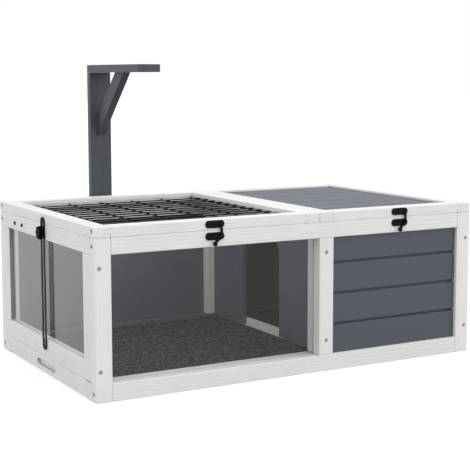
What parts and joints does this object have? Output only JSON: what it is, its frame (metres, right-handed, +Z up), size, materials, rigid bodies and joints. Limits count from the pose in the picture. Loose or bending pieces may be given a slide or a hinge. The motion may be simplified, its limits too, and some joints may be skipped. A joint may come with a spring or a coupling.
{
  "type": "tortoise house",
  "caption": "Low wooden tortoise house with a windowed run under a wire mesh lid, a boarded den under a hinged roof, a drawer floor and a lamp bracket.",
  "frame": {"origin": "on the floor plane under the centre of the whole object's bounding box", "axes": "+X to the den end (the run is on the left), +Y from the windowed front to the back wall with the lamp bracket, +Z up"},
  "size_m": [0.9636, 0.6208, 0.6675],
  "materials": {
    "white_painted_wood": "smooth white paint, satin",
    "grey_painted_wood": "dark blue-grey paint, matte",
    "roof_board_grey": "blue-grey paint, matte",
    "slate_painted_wood": "slate grey paint, matte",
    "lined_board": "board with a dark speckled waterproof lining",
    "clear_acrylic": "clear acrylic sheet, polished",
    "black_steel": "black coated steel, satin",
    "black_plastic": "black moulded plastic"
  },
  "bodies": {
    "house": {"front_left_post": "white_painted_wood", "back_left_post": "white_painted_wood", "front_right_post": "white_painted_wood", "back_right_post": "white_painted_wood", "front_mid_post": "white_painted_wood", "back_mid_post": "white_painted_wood", "front_bottom_rail": "white_painted_wood", "front_top_rail": "white_painted_wood", "back_bottom_rail": "white_painted_wood", "back_top_rail": "white_painted_wood", "right_bottom_rail": "white_painted_wood", "right_top_rail": "white_painted_wood", "left_top_rail": "white_painted_wood", "left_sill_rail": "white_painted_wood", "left_front_stile": "white_painted_wood", "left_back_stile": "white_painted_wood", "front_floor_batten": "white_painted_wood", "back_floor_batten": "white_painted_wood", "divider_top_rail": "white_painted_wood", "front_pane": "clear_acrylic", "left_pane": "clear_acrylic", "front_clapboards": "grey_painted_wood", "right_clapboards": "grey_painted_wood", "back_clapboards": "grey_painted_wood", "divider_wall": "grey_painted_wood", "lamp_post": "slate_painted_wood", "lamp_arm": "slate_painted_wood", "lamp_brace": "slate_painted_wood", "mesh_lid_left_hinge_body_leaf": "black_steel", "mesh_lid_right_hinge_body_leaf": "black_steel", "mesh_lid_latch_base": "black_steel", "roof_lid_left_hinge_body_leaf": "black_steel", "roof_lid_right_hinge_body_leaf": "black_steel", "roof_lid_latch_base": "black_steel"},
    "tray": {"tray_front": "white_painted_wood", "tray_floor": "lined_board"},
    "mesh_lid": {"mesh_lid_left_rail": "white_painted_wood", "mesh_lid_right_rail": "white_painted_wood", "mesh_lid_front_rail": "white_painted_wood", "mesh_lid_back_rail": "white_painted_wood", "wire_mesh": "black_steel", "mesh_lid_left_hinge_lid_leaf": "black_steel", "mesh_lid_right_hinge_lid_leaf": "black_steel", "mesh_lid_latch_keeper": "black_steel", "left_stay_pivot": "black_steel"},
    "mesh_lid_hook": {"mesh_lid_latch_hook": "black_steel"},
    "left_stay_bar": {"left_stay": "black_steel"},
    "left_hand_knob": {"left_knob": "black_plastic"},
    "roof_lid": {"roof_lid_left_rail": "white_painted_wood", "roof_lid_right_rail": "white_painted_wood", "roof_lid_front_rail": "white_painted_wood", "roof_lid_back_rail": "white_painted_wood", "roof_boards": "roof_board_grey", "roof_lid_left_hinge_lid_leaf": "black_steel", "roof_lid_right_hinge_lid_leaf": "black_steel", "roof_lid_latch_keeper": "black_steel", "right_stay_pivot": "black_steel"},
    "roof_lid_hook": {"roof_lid_latch_hook": "black_steel"},
    "right_stay_bar": {"right_stay": "black_steel"},
    "right_hand_knob": {"right_knob": "black_plastic"}
  },
  "joints": [
    {"name": "tray_slide", "type": "slide", "parent": "house", "child": "tray", "axis": [-1, 0, 0], "range_m": [0, 0.75]},
    {"name": "mesh_lid_hinge", "type": "hinge", "parent": "house", "child": "mesh_lid", "pos_m": [-0.207, 0.27685, 0.328], "axis": [-1, 0, 0], "range_deg": [0, 45]},
    {"name": "roof_lid_hinge", "type": "hinge", "parent": "house", "child": "roof_lid", "pos_m": [0.261, 0.27685, 0.328], "axis": [-1, 0, 0], "range_deg": [0, 48]},
    {"name": "mesh_lid_hook_pivot", "type": "hinge", "parent": "house", "child": "mesh_lid_hook", "pos_m": [-0.188, -0.30115, 0.3158], "axis": [0, 1, 0], "range_deg": [0, 80]},
    {"name": "roof_lid_hook_pivot", "type": "hinge", "parent": "house", "child": "roof_lid_hook", "pos_m": [0.28, -0.30115, 0.3158], "axis": [0, 1, 0], "range_deg": [0, 80]},
    {"name": "left_stay_swing", "type": "hinge", "parent": "mesh_lid", "child": "left_stay_bar", "pos_m": [-0.468, -0.01815, 0.3375], "axis": [-1, 0, 0], "range_deg": [-26, 0]},
    {"name": "right_stay_swing", "type": "hinge", "parent": "roof_lid", "child": "right_stay_bar", "pos_m": [0.468, -0.01815, 0.3375], "axis": [-1, 0, 0], "range_deg": [-26, 0]},
    {"name": "left_knob_turn", "type": "hinge", "parent": "house", "child": "left_hand_knob", "pos_m": [-0.468, -0.01815, 0.3095], "axis": [-1, 0, 0], "continuous": true},
    {"name": "right_knob_turn", "type": "hinge", "parent": "house", "child": "right_hand_knob", "pos_m": [0.468, -0.01815, 0.3095], "axis": [1, 0, 0], "continuous": true}
  ],
  "couplings": [
    {"joint": "left_stay_swing", "follows": "mesh_lid_hinge", "ratio": -0.52},
    {"joint": "right_stay_swing", "follows": "roof_lid_hinge", "ratio": -0.52}
  ]
}
